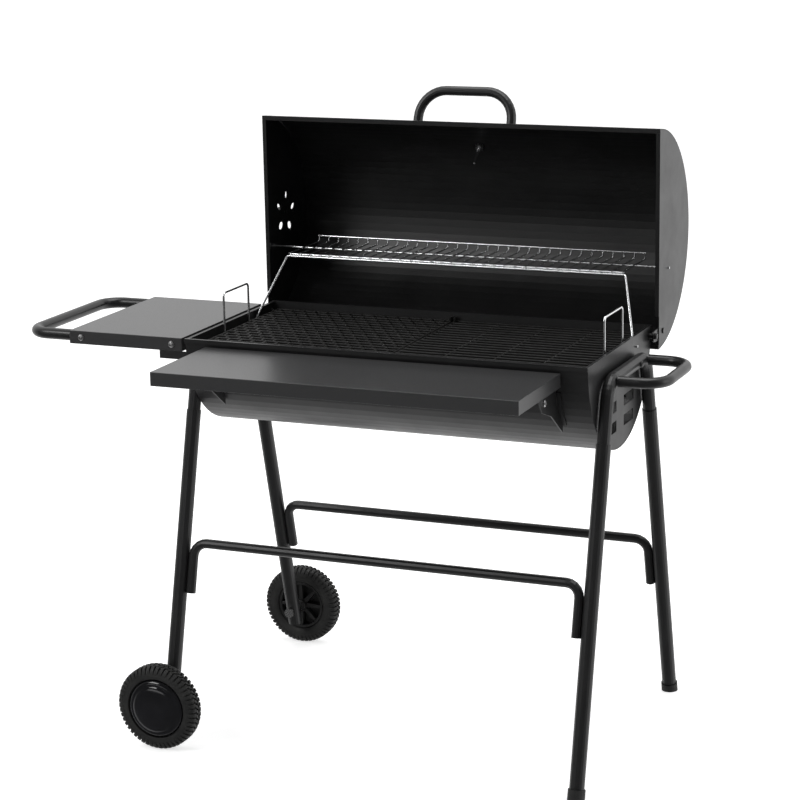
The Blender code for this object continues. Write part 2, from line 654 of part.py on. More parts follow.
def build_lid_ends(lid_black, tip_z):
    end_radius = LID_RADIUS - SHEET - GAP
    end_x = LID_HALF_LENGTH - SHEET / 2
    mouth = math.degrees(math.asin((LID_RIM_Y + SHEET + GAP - LID_CENTRE[0]) / end_radius))
    for side, word in ((-1, "left"), (1, "right")):
        outline = arc(LID_CENTRE, end_radius, mouth, 180 - mouth, 42)
        end = as_mesh(plate("lid_end_" + word, outline, side * end_x, SHEET, lid_black))
        flange_x = sorted((side * (LID_HALF_LENGTH - LID_FLANGE), side * LID_HALF_LENGTH))
        flange = box("lid_flange_" + word, (flange_x[0], LID_RIM_Y, 0.790),
                     (flange_x[1], LID_RIM_Y + 0.0022, LID_CENTRE[1] + tip_z - GAP))
        join(end, flange)
        reach = (side * (end_x - 0.02), side * (end_x + 0.02))
        cut(end, rod("rack_hole_" + word, (reach[0], *RACK_PIVOT), (reach[1], *RACK_PIVOT),
                     LONG_WIRE + RUNNING_FIT))
        cut(end, rod("rivet_hole_" + word, (reach[0], 0.228, 0.757), (reach[1], 0.228, 0.757),
                     0.0033))
        if side < 0:
            for number, (y, z) in enumerate(vent_places(VENT_OPENING_TURN)):
                cut(end, rod(f"lid_vent_hole_{number}", (reach[0], y, z), (reach[1], y, z),
                             VENT_HOLE, None, 16))
            cut(end, rod("vent_pin_hole", (reach[0], *VENT_CENTRE), (reach[1], *VENT_CENTRE),
                         0.0030 + RUNNING_FIT))
        build_hinge(side, word, lid_black)


def build_hinge(side, word, lid_black):
    """Plate inside the lid's end that reaches forward to the pivot, with its rivet."""
    inner = LID_HALF_LENGTH - SHEET - GAP - 0.003
    half_height = 0.0115
    outline = arc(HINGE, half_height, 180, 360, 10) + [(0.242, HINGE[1] + half_height),
                                                       (0.242, HINGE[1] - half_height)]
    hinge = as_mesh(plate("hinge_plate_" + word, outline, side * (inner + 0.0015), 0.003,
                          lid_black))
    outer_face = LID_HALF_LENGTH + GAP
    join(hinge, rod("rivet_stem_" + word, (side * (inner + 0.001), 0.228, 0.757),
                    (side * (outer_face + 0.0008), 0.228, 0.757), 0.0030))
    join(hinge, rod("rivet_head_" + word, (side * outer_face, 0.228, 0.757),
                    (side * (outer_face + 0.0018), 0.228, 0.757), 0.0055))
    cut(hinge, rod("pivot_bore_" + word, (side * (inner - 0.02), *HINGE),
                   (side * (inner + 0.02), *HINGE), 0.00308, None, 32))


def build_hinge_bolts(black):
    """Pivot bolts: nut in the bowl, spacer outside it, shank in the hinge plate, head outside."""
    plate_inner = LID_HALF_LENGTH - SHEET - GAP - 0.003
    head = plate_inner + 0.003 + GAP
    wall_out = BOWL_HALF_LENGTH - 0.0005 + GAP
    wall_in = wall_out - SHEET - 2 * GAP
    for side, word in ((-1, "left"), (1, "right")):
        outline = [(0.0, head + 0.0042), (0.0052, head + 0.0036), (0.0060, head + 0.0022),
                   (0.0060, head), (0.0030, head), (0.0030, plate_inner - GAP),
                   (0.0056, plate_inner - GAP), (0.0056, wall_out), (0.0030, wall_out),
                   (0.0030, wall_in), (0.0058, wall_in), (0.0058, wall_in - 0.0045),
                   (0.0, wall_in - 0.0045)]
        turned("hinge_bolt_" + word, outline, (0.0, *HINGE), (side, 0, 0), black, 24)


def vent_places(turn):
    for number in range(VENT_HOLES):
        angle = turn + math.tau * number / VENT_HOLES
        yield (VENT_CENTRE[0] + VENT_PITCH * math.sin(angle),
               VENT_CENTRE[1] + VENT_PITCH * math.cos(angle))


def build_vent(black):
    """Turning disc outside the lid's left end, with a knob and a pin through the end."""
    outer = LID_HALF_LENGTH + GAP
    disc = turned("lid_vent_disc",
                  [(0.0, 0.0190), (0.0065, 0.0180), (0.0090, 0.0150), (0.0078, 0.0040),
                   (0.0110, 0.0016), (0.0485, 0.0014), (0.0500, 0.0), (0.0030, 0.0),
                   (0.0030, -0.0022), (0.0055, -0.0022), (0.0055, -0.0038), (0.0, -0.0038)],
                  (-outer, *VENT_CENTRE), (-1, 0, 0), black, 28)
    for number, (y, z) in enumerate(vent_places(0.0)):
        cut(disc, rod(f"disc_hole_{number}", (-outer - 0.01, y, z), (-outer + 0.001, y, z),
                      VENT_HOLE - 0.0002, None, 16))


def build_thermometer(shell, chrome, steel):
    """Dial on the outside of the lid, with its stem through the sheet and a nut inside."""
    out = Vector((0.0, math.sin(math.radians(45)), math.cos(math.radians(45))))
    seat = Vector((0.0, *LID_CENTRE)) + out * LID_RADIUS
    cut(shell, rod("thermometer_hole", seat - out * 0.02, seat + out * 0.02, 0.0048))
    turned("thermometer",
           [(0.0, 0.0120), (0.0250, 0.0120), (0.0262, 0.0140), (0.0285, 0.0140),
            (0.0300, 0.0110), (0.0300, 0.0035), (0.0080, 0.0022), (0.0045, 0.0005),
            (0.0040, -0.0180), (0.0024, -0.0190), (0.0024, -0.0480), (0.0, -0.0490)],
           seat, out, chrome, 28)
    nut_top = -SHEET - 0.0012
    nut = rod("thermometer_nut", seat + out * nut_top, seat + out * (nut_top - 0.006), 0.0098,
              steel, 6)
    cut(nut, rod("nut_bore", seat + out * 0.01, seat - out * 0.03, 0.0048))


def build_lid_handle(black):
    """Bent bar standing square on the lid's round side, its ends cut to the lid."""
    lean = math.asin((LID_HANDLE_Y - LID_CENTRE[0]) / LID_RADIUS)
    out = Vector((0.0, math.sin(lean), math.cos(lean)))
    axis_point = Vector((0.0, *LID_CENTRE))
    low = axis_point + out * (LID_RADIUS - 0.012)
    high = axis_point + out * (LID_RADIUS + LID_HANDLE_HEIGHT)
    across = Vector((LID_HANDLE_HALF_WIDTH, 0.0, 0.0))
    corners = [low - across, high - across, high + across, low + across]
    handle = as_mesh(tube("lid_handle", [rounded_path(corners, 0.055, 9)], LID_HANDLE_TUBE,
                          black, 16))
    smooth(handle)
    cut(handle, rod("lid_round", (-0.3, *LID_CENTRE), (0.3, *LID_CENTRE), LID_RADIUS + 2 * GAP,
                    None, 168))


# ---- warming rack ---------------------------------------------------------------------------
def build_rack(chrome):
    """Thin wires from front to back, folded up into a low fence, on three long wires."""
    runs = []
    for number in range(RACK_WIRES):
        x = RACK_HALF_LENGTH * (2 * number / (RACK_WIRES - 1) - 1) * 0.996
        runs.append([(x, BAIL_ROD[0] - LONG_WIRE, RACK_TOP_Z), (x, RACK_BACK_Y, RACK_TOP_Z),
                     (x, RACK_BACK_Y, RACK_FENCE_Z)])
    rack = as_mesh(tube("warming_rack", runs, CROSS_WIRE, chrome, 4))
    front = (RACK_FRONT_Y, RACK_PIVOT[1])
    fence = (RACK_BACK_Y, RACK_FENCE_Z)
    ends = LID_HALF_LENGTH + 0.0030
    for word, half, place in (("front", RACK_HALF_LENGTH, front), ("fence", RACK_HALF_LENGTH, fence),
                              ("pivot", ends, RACK_PIVOT)):
        long_wire = rod(f"rack_{word}_wire", (-half, *place), (half, *place), LONG_WIRE, None, 6)
        join(rack, long_wire)


def build_bail(chrome):
    """One bent wire: a rod under the rack's front, and a leg at each end down to the bowl."""
    top_x = RACK_HALF_LENGTH + 0.0035
    foot_x = BAIL_FOOT_X
    corners = [(-BOWL_HALF_LENGTH - 0.003, *BAIL_FOOT), (-foot_x, *BAIL_FOOT), (-top_x, *BAIL_ROD),
               (top_x, *BAIL_ROD), (foot_x, *BAIL_FOOT), (BOWL_HALF_LENGTH + 0.003, *BAIL_FOOT)]
    tube("rack_bail", [rounded_path(corners, 0.0035, 3)], LONG_WIRE, chrome, 8)


# ---- grates ---------------------------------------------------------------------------------
def build_cooking_grates(iron, chrome):
    """Two cast grates side by side: bars along X between three cross bars."""
    y_span = (-GRATE_HALF_DEPTH, GRATE_HALF_DEPTH)
    pitch = (2 * GRATE_HALF_DEPTH - GRATE_BAR) / GRATE_BARS
    for side, word in ((-1, "left"), (1, "right")):
        x_span = sorted((side * 0.0012, side * GRATE_END_X))
        middle = side * GRATE_END_X / 2
        slots = []
        for number in range(GRATE_BARS):
            low_y = y_span[0] + GRATE_BAR + pitch * number
            high_y = low_y + pitch - GRATE_BAR
            slots.append((x_span[0] + 0.005, middle - 0.003, low_y, high_y))
            slots.append((middle + 0.003, x_span[1] - 0.005, low_y, high_y))
        slotted("cooking_grate_" + word, x_span, y_span, slots, GRATE_Z, GRATE_THICK, iron)
        handle_x = side * LIFT_HANDLE_X
        foot_z = GRATE_Z + GRATE_THICK / 2 + GAP
        corners = [(handle_x, -LIFT_HANDLE_HALF_SPAN, foot_z),
                   (handle_x, -LIFT_HANDLE_HALF_SPAN, LIFT_HANDLE_TOP_Z),
                   (handle_x, LIFT_HANDLE_HALF_SPAN, LIFT_HANDLE_TOP_Z),
                   (handle_x, LIFT_HANDLE_HALF_SPAN, foot_z)]
        tube("lift_handle_" + word, [rounded_path(corners, 0.008)], LONG_WIRE, chrome, 8)


def build_coal_grate(iron):
    """The charcoal grate: bars from front to back on two long bars, lying in the bowl."""
    wall = math.sqrt((BOWL_RADIUS - SHEET) ** 2 - (RIM_Z - COAL_GRATE_Z) ** 2)
    half_depth = wall - 0.0045
    half_length = BOWL_HALF_LENGTH - 0.022
    runs = []
    for number in range(COAL_BARS):
        x = half_length * (2 * number / (COAL_BARS - 1) - 1)
        runs.append([(x, -half_depth, COAL_GRATE_Z), (x, half_depth, COAL_GRATE_Z)])
    grate = as_mesh(tube("charcoal_grate", runs, 0.0032, iron, 4))
    for word, y in (("front", -0.085), ("rear", 0.085)):
        join(grate, rod(f"coal_long_bar_{word}", (-half_length - 0.006, y, COAL_GRATE_Z - 0.0035),
                        (half_length + 0.006, y, COAL_GRATE_Z - 0.0035), 0.0035, None, 6))


# ---- the whole grill ------------------------------------------------------------------------
def build_grill():
    black = paint("black powder coat", (0.012, 0.012, 0.013), 0.0, 0.42)
    lid_black = paint("black enamel", (0.010, 0.010, 0.011), 0.0, 0.30)
    shelf_paint = paint("shelf powder coat", (0.020, 0.020, 0.022), 0.0, 0.38)
    glossy = paint("glossy black plastic", (0.008, 0.008, 0.008), 0.0, 0.12)
    rubber = paint("black rubber", (0.018, 0.018, 0.018), 0.0, 0.80)
    iron = paint("black cast iron", (0.020, 0.019, 0.018), 0.3, 0.60)
    chrome = paint("chrome wire", (0.72, 0.73, 0.75), 1.0, 0.12)
    steel = paint("zinc plated steel", (0.62, 0.62, 0.63), 1.0, 0.28)

    build_bowl(black)
    build_stand(black, rubber)
    build_stretchers(black)
    build_wheels(black, glossy, steel, rubber)
    build_front_shelf(shelf_paint, black, steel)
    build_side_shelf(shelf_paint, black, steel)
    build_push_handle(black)
    build_lid(lid_black, black, chrome, steel)
    build_hinge_bolts(black)
    build_rack(chrome)
    build_bail(chrome)
    build_cooking_grates(iron, chrome)
    build_coal_grate(iron)


clear_scene()
PARTS = new_collection("barrel_charcoal_grill")
CUTTERS = new_collection("cutters")
ORIGIN = bpy.data.objects.new("grill_origin", None)
PARTS.objects.link(ORIGIN)
ORIGIN.location = SHIFT
build_grill()
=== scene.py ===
"""Looks of the barrel charcoal grill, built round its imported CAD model.

The CAD nodes keep their shapes. Wires, bent tubes, tyres, rims, hub caps, cooking grates and
the thermometer are remade here in finer detail, in the same places, and ride on the same bodies.
"""
import bmesh
import bpy
import json
import math
from mathutils import Matrix, Vector


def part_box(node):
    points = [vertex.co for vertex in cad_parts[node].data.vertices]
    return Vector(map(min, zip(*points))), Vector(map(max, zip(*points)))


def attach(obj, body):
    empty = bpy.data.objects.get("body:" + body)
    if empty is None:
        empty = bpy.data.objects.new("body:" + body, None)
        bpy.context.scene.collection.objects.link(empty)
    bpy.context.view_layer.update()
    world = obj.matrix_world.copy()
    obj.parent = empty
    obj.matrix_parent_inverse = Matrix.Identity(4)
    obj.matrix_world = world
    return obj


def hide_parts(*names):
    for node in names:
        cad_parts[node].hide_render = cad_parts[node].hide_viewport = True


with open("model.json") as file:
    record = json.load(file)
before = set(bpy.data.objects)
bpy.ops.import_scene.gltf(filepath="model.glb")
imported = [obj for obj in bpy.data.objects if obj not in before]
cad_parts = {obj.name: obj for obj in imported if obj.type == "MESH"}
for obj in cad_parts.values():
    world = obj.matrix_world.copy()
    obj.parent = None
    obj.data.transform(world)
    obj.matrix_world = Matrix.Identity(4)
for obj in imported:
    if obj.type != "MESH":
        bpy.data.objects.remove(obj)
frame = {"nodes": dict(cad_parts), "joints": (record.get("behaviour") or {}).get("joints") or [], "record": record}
NODES = frame["nodes"]
JOINTS = {joint["name"]: joint for joint in frame["joints"]}
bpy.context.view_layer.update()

# ---- sizes, in metres ------------------------------------------------------------------------
WIRE = 0.0022                   # radius of the thick chrome wires
THIN_WIRE = 0.0015
RACK_WIRES = 33
BAR_WIDTH = 0.0050              # cooking grate bars
GRATE_ROWS = 18
TREAD_LUGS = 52
SPOKES = 8
RIM_HALF_WIDTH = 0.0134
RACK_HALF_LENGTH = 0.351
RACK_FRONT_Y = 0.1805           # the rack's front wire, behind the middle of the barrel
BAIL_FOOT_X = 0.3942
BAIL_TOP_X = 0.3545
SIDE_HANDLE_BEND = 0.042
PUSH_HANDLE_BEND = 0.045
LINK_STEP = 0.0254              # between the left grate's short links
CROSS_BAR_SHARES = (0.25, 0.5, 0.75)
SCALE_MARKS = 24
CAD_SMOOTH_ANGLE = 32
FULL_TURN = math.tau


# ---- places read from the frame ---------------------------------------------------------------
def low(node):
    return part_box(node)[0]


def high(node):
    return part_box(node)[1]


def centre(node):
    return (low(node) + high(node)) / 2


BOWL = centre("bowl_shell")     # middle of the barrel
MID_X = BOWL.x
MID_Y = BOWL.y


# ---- material helpers -------------------------------------------------------------------------
class Paint:
    """A Principled material with its own coordinates, so that each material's nodes read easily."""

    def __init__(self, name, colour, metallic=0.0, roughness=0.5):
        self.material = bpy.data.materials.new(name)
        self.material.use_nodes = True
        self.tree = self.material.node_tree
        self.shader = self.tree.nodes["Principled BSDF"]
        self.shader.inputs["Base Color"].default_value = (*colour, 1.0)
        self.shader.inputs["Metallic"].default_value = metallic
        self.shader.inputs["Roughness"].default_value = roughness
        self.place = self.tree.nodes.new("ShaderNodeTexCoord").outputs["Object"]
        self.normal = None

    def node(self, kind, **settings):
        node = self.tree.nodes.new(kind)
        for key, value in settings.items():
            setattr(node, key, value)
        return node

    def link(self, output, socket):
        self.tree.links.new(output, socket)

    def stretched(self, scale):
        mapping = self.node("ShaderNodeMapping")
        mapping.inputs["Scale"].default_value = scale
        self.link(self.place, mapping.inputs["Vector"])
        return mapping.outputs["Vector"]

    def noise(self, scale, detail=2.0, roughness=0.5, vector=None):
        noise = self.node("ShaderNodeTexNoise")
        noise.inputs["Scale"].default_value = scale
        noise.inputs["Detail"].default_value = detail
        noise.inputs["Roughness"].default_value = roughness
        self.link(vector or self.place, noise.inputs["Vector"])
        return noise.outputs["Fac"]

    def cells(self, scale, feature="F1"):
        cells = self.node("ShaderNodeTexVoronoi", feature=feature)
        cells.inputs["Scale"].default_value = scale
        self.link(self.place, cells.inputs["Vector"])
        return cells.outputs["Distance"]

    def spread(self, value, low_value, high_value, start=0.3, end=0.7):
        """Map a mask from start..end to low_value..high_value."""
        span = self.node("ShaderNodeMapRange")
        span.inputs["From Min"].default_value = start
        span.inputs["From Max"].default_value = end
        span.inputs["To Min"].default_value = low_value
        span.inputs["To Max"].default_value = high_value
        self.link(value, span.inputs["Value"])
        return span.outputs["Result"]

    def bump(self, height, distance, strength=1.0):
        bump = self.node("ShaderNodeBump")
        bump.inputs["Distance"].default_value = distance
        bump.inputs["Strength"].default_value = strength
        self.link(height, bump.inputs["Height"])
        if self.normal is not None:
            self.link(self.normal, bump.inputs["Normal"])
        self.normal = bump.outputs["Normal"]
        self.link(self.normal, self.shader.inputs["Normal"])

    def vary_roughness(self, value, low_value, high_value, start=0.3, end=0.7):
        self.link(self.spread(value, low_value, high_value, start, end),
                  self.shader.inputs["Roughness"])

    def vary_colour(self, value, first, second):
        ramp = self.node("ShaderNodeValToRGB")
        ramp.color_ramp.elements[0].position = 0.35
        ramp.color_ramp.elements[0].color = (*first, 1.0)
        ramp.color_ramp.elements[1].position = 0.65
        ramp.color_ramp.elements[1].color = (*second, 1.0)
        self.link(value, ramp.inputs["Fac"])
        self.link(ramp.outputs["Color"], self.shader.inputs["Base Color"])


def coated_steel(name, dark, light, smooth, rough, peel=0.00004):
    """Powder coat: fine orange peel, a finer grain on it, and slow changes of sheen."""
    paint = Paint(name, dark)
    paint.vary_colour(paint.noise(9.0, 4.0), dark, light)
    paint.vary_roughness(paint.noise(14.0, 5.0, 0.6), smooth, rough)
    paint.bump(paint.noise(420.0, 2.0), peel)
    paint.bump(paint.noise(1900.0, 1.0), peel * 0.35)
    paint.shader.inputs["Coat Weight"].default_value = 0.05
    paint.shader.inputs["Coat Roughness"].default_value = 0.25
    return paint.material


def shelf_steel():
    """The shelves' smooth coat: a fine metallic grain under it."""
    dark, light = (0.0230, 0.0232, 0.0240), (0.0290, 0.0290, 0.0300)
    paint = Paint("shelf coat", dark)
    paint.vary_colour(paint.noise(2600.0, 2.0), dark, light)
    paint.vary_roughness(paint.noise(900.0, 3.0), 0.30, 0.38)
    paint.bump(paint.noise(520.0, 2.0), 0.000018)
    paint.shader.inputs["Coat Weight"].default_value = 0.15
    paint.shader.inputs["Coat Roughness"].default_value = 0.22
    return paint.material


def chrome():
    paint = Paint("chrome wire", (0.92, 0.93, 0.94), 1.0, 0.18)
    paint.vary_roughness(paint.noise(60.0, 4.0), 0.16, 0.26)
    paint.bump(paint.noise(700.0, 2.0), 0.00001)
    return paint.material


def zinc():
    """Bright plated bolts: fine turning marks and a faint mottled colour."""
    paint = Paint("zinc plate", (0.66, 0.66, 0.67), 1.0, 0.26)
    paint.vary_colour(paint.noise(240.0, 3.0), (0.60, 0.60, 0.61), (0.74, 0.74, 0.74))
    paint.vary_roughness(paint.noise(500.0, 3.0), 0.20, 0.34)
    paint.bump(paint.noise(1500.0, 2.0), 0.00001)
    return paint.material


def cast_iron():
    """Matt enamelled grate: a pebbled cast skin, slightly shinier where bars are rubbed."""
    paint = Paint("grate iron", (0.020, 0.019, 0.018), 0.0, 0.5)
    paint.vary_colour(paint.noise(35.0, 5.0, 0.6), (0.006, 0.0058, 0.0055), (0.012, 0.0115, 0.011))
    paint.shader.inputs["Specular IOR Level"].default_value = 0.25
    paint.vary_roughness(paint.noise(90.0, 4.0), 0.38, 0.62)
    paint.bump(paint.noise(650.0, 3.0, 0.6), 0.00022)
    paint.bump(paint.cells(420.0), 0.00008)
    return paint.material


def tyre_rubber():
    paint = Paint("tyre rubber", (0.015, 0.015, 0.015), 0.0, 0.7)
    paint.vary_colour(paint.noise(28.0, 5.0, 0.6), (0.012, 0.012, 0.012), (0.020, 0.020, 0.019))
    paint.vary_roughness(paint.noise(55.0, 4.0), 0.52, 0.72)
    paint.bump(paint.noise(900.0, 3.0, 0.6), 0.00009)
    return paint.material


def moulded(name, colour, smooth, rough, grain):
    """Black plastic: eggshell mould texture with a little flow variation."""
    paint = Paint(name, colour)
    lighter = tuple(channel * 1.5 for channel in colour)
    paint.vary_colour(paint.noise(16.0, 4.0), colour, lighter)
    paint.vary_roughness(paint.noise(40.0, 3.0), smooth, rough)
    paint.bump(paint.noise(800.0, 2.0), grain)
    return paint.material


def glass():
    paint = Paint("dial glass", (0.95, 0.97, 0.97), 0.0, 0.03)
    paint.shader.inputs["Transmission Weight"].default_value = 1.0
    paint.shader.inputs["IOR"].default_value = 1.5
    paint.vary_roughness(paint.noise(120.0, 3.0), 0.02, 0.06)
    return paint.material


def dial_face():
    paint = Paint("dial face", (0.86, 0.86, 0.84), 0.0, 0.45)
    paint.vary_colour(paint.noise(300.0, 3.0), (0.82, 0.82, 0.80), (0.90, 0.90, 0.88))
    paint.vary_roughness(paint.noise(400.0, 2.0), 0.40, 0.52)
    return paint.material


def dial_ink(name, colour):
    paint = Paint(name, colour, 0.0, 0.5)
    paint.vary_roughness(paint.noise(500.0, 2.0), 0.42, 0.58)
    return paint.material


# ---- piece helpers ----------------------------------------------------------------------------
def piece(name, data, material, body, replaced=()):
    made = bpy.data.objects.new(name, data)
    bpy.context.scene.collection.objects.link(made)
    data.materials.append(material)
    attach(made, body)
    if replaced:
        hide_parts(*replaced)
    return made


def mesh_piece(name, build, material, body, replaced=(), angle=35):
    mesh = bpy.data.meshes.new(name)
    work = bmesh.new()
    build(work)
    bmesh.ops.recalc_face_normals(work, faces=work.faces)
    work.to_mesh(mesh)
    work.free()
    smooth(mesh, angle)
    return piece(name, mesh, material, body, replaced)


def smooth(mesh, angle=35):
    for face in mesh.polygons:
        face.use_smooth = True
    mesh.set_sharp_from_angle(angle=math.radians(angle))


def soften(made, width, segments=2, angle=40):
    """Small rounded edges that catch the light."""
    bevel = made.modifiers.new("soft edges", "BEVEL")
    bevel.width = width
    bevel.segments = segments
    bevel.limit_method = "ANGLE"
    bevel.angle_limit = math.radians(angle)
    bevel.harden_normals = False


def rounded_path(corners, radius, steps=14):
    """Centre line of a bent bar, each inner corner rounded to an arc."""
    corners = [Vector(corner) for corner in corners]
    path = [corners[0]]
    for before, corner, after in zip(corners, corners[1:], corners[2:]):
        into = (corner - before).normalized()
        out = (after - corner).normalized()
        turn = into.angle(out)
        reach = radius * math.tan(turn / 2)
        middle = corner + (out - into).normalized() * (radius / math.cos(turn / 2))
        spoke = corner - into * reach - middle
        pivot = into.cross(out).normalized()
        for step in range(steps + 1):
            path.append(middle + Matrix.Rotation(turn * step / steps, 3, pivot) @ spoke)
    path.append(corners[-1])
    return path


def bars(name, runs, radius, material, body, replaced=(), roundness=5):
    """Round bars along paths, as one curve piece."""
    curve = bpy.data.curves.new(name, "CURVE")
    curve.dimensions = "3D"
    curve.bevel_depth = radius
    curve.bevel_resolution = roundness
    curve.use_fill_caps = True
    for run in runs:
        spline = curve.splines.new("POLY")
        spline.points.add(len(run) - 1)
        for point, spot in zip(spline.points, run):
            point.co = (*spot, 1.0)
        spline.use_smooth = True
    return piece(name, curve, material, body, replaced)


def turned(name, outline, spot, axis, material, body, replaced=(), steps=96, angle=30):
    """Turn (radius, height) points round an axis."""
    turn = Vector(axis).to_track_quat("Z", "Y").to_matrix().to_4x4()
    world = Matrix.Translation(spot) @ turn

    def build(work):
        rings = []
        for radius, height in outline:
            if radius < 0.00001:
                rings.append([work.verts.new(world @ Vector((0.0, 0.0, height)))])
                continue
            ring = []
            for step in range(steps):
                angle_now = FULL_TURN * step / steps
                local = Vector((radius * math.cos(angle_now), radius * math.sin(angle_now), height))
                ring.append(work.verts.new(world @ local))
            rings.append(ring)
        closed = outline[0][0] > 0.00001
        pairs = list(zip(rings, rings[1:]))
        if closed:
            pairs.append((rings[-1], rings[0]))
        for upper, lower in pairs:
            for step in range(steps):
                ahead = (step + 1) % steps
                corners = [upper[step % len(upper)], upper[ahead % len(upper)],
                           lower[ahead % len(lower)], lower[step % len(lower)]]
                unique = list(dict.fromkeys(corners))
                if len(unique) > 2:
                    work.faces.new(unique)

    return mesh_piece(name, build, material, body, replaced, angle)


# ---- wheels -----------------------------------------------------------------------------------
def wheel_frame(place):
    """The wheel's centre and the direction out from the grill."""
    out = -1.0 if place == "front" else 1.0
    joint = JOINTS["wheel_" + place + "_spin"]
    return Vector(joint["pos_m"]), out


def add_block(work, corners):
    """A closed block from eight corners: four below, then the four above them."""
    verts = [work.verts.new(corner) for corner in corners]
    for indices in ((3, 2, 1, 0), (4, 5, 6, 7), (0, 1, 5, 4), (1, 2, 6, 5), (2, 3, 7, 6), (3, 0, 4, 7)):
        work.faces.new([verts[index] for index in indices])


def build_tyre(place, rubber):
    """Tyre body with rounded shoulders, then two rows of shoulder lugs and a zigzag middle row."""
    hub, out = wheel_frame(place)
    node = "tyre_" + place
    radius = (high(node).z - low(node).z) / 2
    half = (high(node).y - low(node).y) / 2 - 0.0006
    ground = radius - 0.0044
    outline = [(0.0515, half - 0.0062), (0.0578, half - 0.0062), (0.0590, half - 0.0008),
               (0.0606, half - 0.0002), (0.0650, half + 0.0001), (0.0700, half - 0.0006),
               (0.0745, half - 0.0028), (ground - 0.0008, half - 0.0066), (ground, half - 0.0100),
               (ground, 0.0), (ground, -half + 0.0100), (ground - 0.0008, -half + 0.0066),
               (0.0745, -half + 0.0028), (0.0700, -half + 0.0006), (0.0650, -half - 0.0001),
               (0.0606, -half + 0.0002), (0.0590, -half + 0.0006), (0.0540, -half + 0.0020),
               (0.0515, -half + 0.0060)]
    turned("tyre_body_" + place, outline, hub, (0, out, 0), rubber, "wheel_" + place, (node,),
           156, 50)

    def build(work):
        for lug in range(TREAD_LUGS):
            shoulder_lug(work, hub, out, lug, 1, radius, half)
            shoulder_lug(work, hub, out, lug + 0.5, -1, radius, half)
            middle_lug(work, hub, lug, 1, radius)
            middle_lug(work, hub, lug + 0.5, -1, radius)

    lugs = mesh_piece("tyre_tread_" + place, build, rubber, "wheel_" + place, ())
    soften(lugs, 0.0006)


def around(hub, angle, radius, height):
    return hub + Vector((radius * math.cos(angle), height, radius * math.sin(angle)))


def shoulder_lug(work, hub, out, position, side, radius, half):
    """One lug that wraps the tyre's shoulder: across the tread and a little way down the wall."""
    pitch = FULL_TURN / TREAD_LUGS
    start = pitch * (position + 0.14)
    end = pitch * (position + 0.80)
    face = side * out
    across = [(radius - 0.0052, 0.0075), (radius - 0.0001, 0.0085), (radius - 0.0007, half - 0.0068),
              (radius - 0.0036, half - 0.0026), (0.0735, half - 0.0002), (0.0690, half + 0.0003),
              (0.0690, half - 0.0045), (radius - 0.0110, half - 0.0080)]
    first = [work.verts.new(around(hub, start, r, h * face)) for r, h in across]
    last = [work.verts.new(around(hub, end, r, h * face)) for r, h in across]
    count = len(across)
    for index in range(count):
        ahead = (index + 1) % count
        work.faces.new((first[index], first[ahead], last[ahead], last[index]))
    work.faces.new(list(reversed(first)))
    work.faces.new(last)


def middle_lug(work, hub, position, side, radius):
    """One slanted lug of the zigzag rows near the tread's middle."""
    pitch = FULL_TURN / TREAD_LUGS
    width = pitch * 0.60
    slant = pitch * 0.45
    inner_angle = pitch * position
    outer_angle = inner_angle + slant
    corners = []
    for level in (radius - 0.0062, radius - 0.0002):
        for angle, height in ((inner_angle, 0.0006), (inner_angle + width, 0.0006),
                              (outer_angle + width, 0.0070), (outer_angle, 0.0070)):
            corners.append(around(hub, angle, level, height * side))
    add_block(work, corners)


def build_rim(place, plastic):
    """Moulded rim: outer ring, hub barrel, one thin web and tapered spokes."""
    hub, out = wheel_frame(place)
    node = "rim_" + place
    body = "wheel_" + place
    ring = [(0.0462, RIM_HALF_WIDTH), (0.0500, RIM_HALF_WIDTH), (0.0511, RIM_HALF_WIDTH - 0.0010),
            (0.0511, -RIM_HALF_WIDTH + 0.0010), (0.0500, -RIM_HALF_WIDTH), (0.0462, -RIM_HALF_WIDTH),
            (0.0450, -RIM_HALF_WIDTH + 0.0020), (0.0450, RIM_HALF_WIDTH - 0.0020)]
    turned("rim_ring_" + place, ring, hub, (0, out, 0), plastic, body, (node,))
    barrel = [(0.0052, 0.0060), (0.0105, 0.0060), (0.0128, 0.0045), (0.0134, 0.0),
              (0.0130, -0.0200), (0.0120, -0.0214), (0.0066, -0.0214), (0.0052, -0.0200)]
    turned("rim_barrel_" + place, barrel, hub, (0, out, 0), plastic, body, (), 64)
    web = [(0.0128, 0.0046), (0.0452, 0.0046), (0.0452, 0.0026), (0.0128, 0.0026)]
    turned("rim_web_" + place, web, hub, (0, out, 0), plastic, body, (), 64)

    def build(work):
        for number in range(SPOKES):
            angle = FULL_TURN * number / SPOKES
            along = Vector((math.cos(angle), 0.0, math.sin(angle)))
            across = Vector((-math.sin(angle), 0.0, math.cos(angle)))
            corners = []
            for depth in (-0.0118 * out, 0.0030 * out):
                for reach, width in ((0.0120, -0.0046), (0.0458, -0.0030),
                                     (0.0458, 0.0030), (0.0120, 0.0046)):
                    corners.append(hub + along * reach + across * width + Vector((0, depth, 0)))
            add_block(work, corners)

    spokes = mesh_piece("rim_spokes_" + place, build, plastic, body, ())
    soften(spokes, 0.0010, 3)


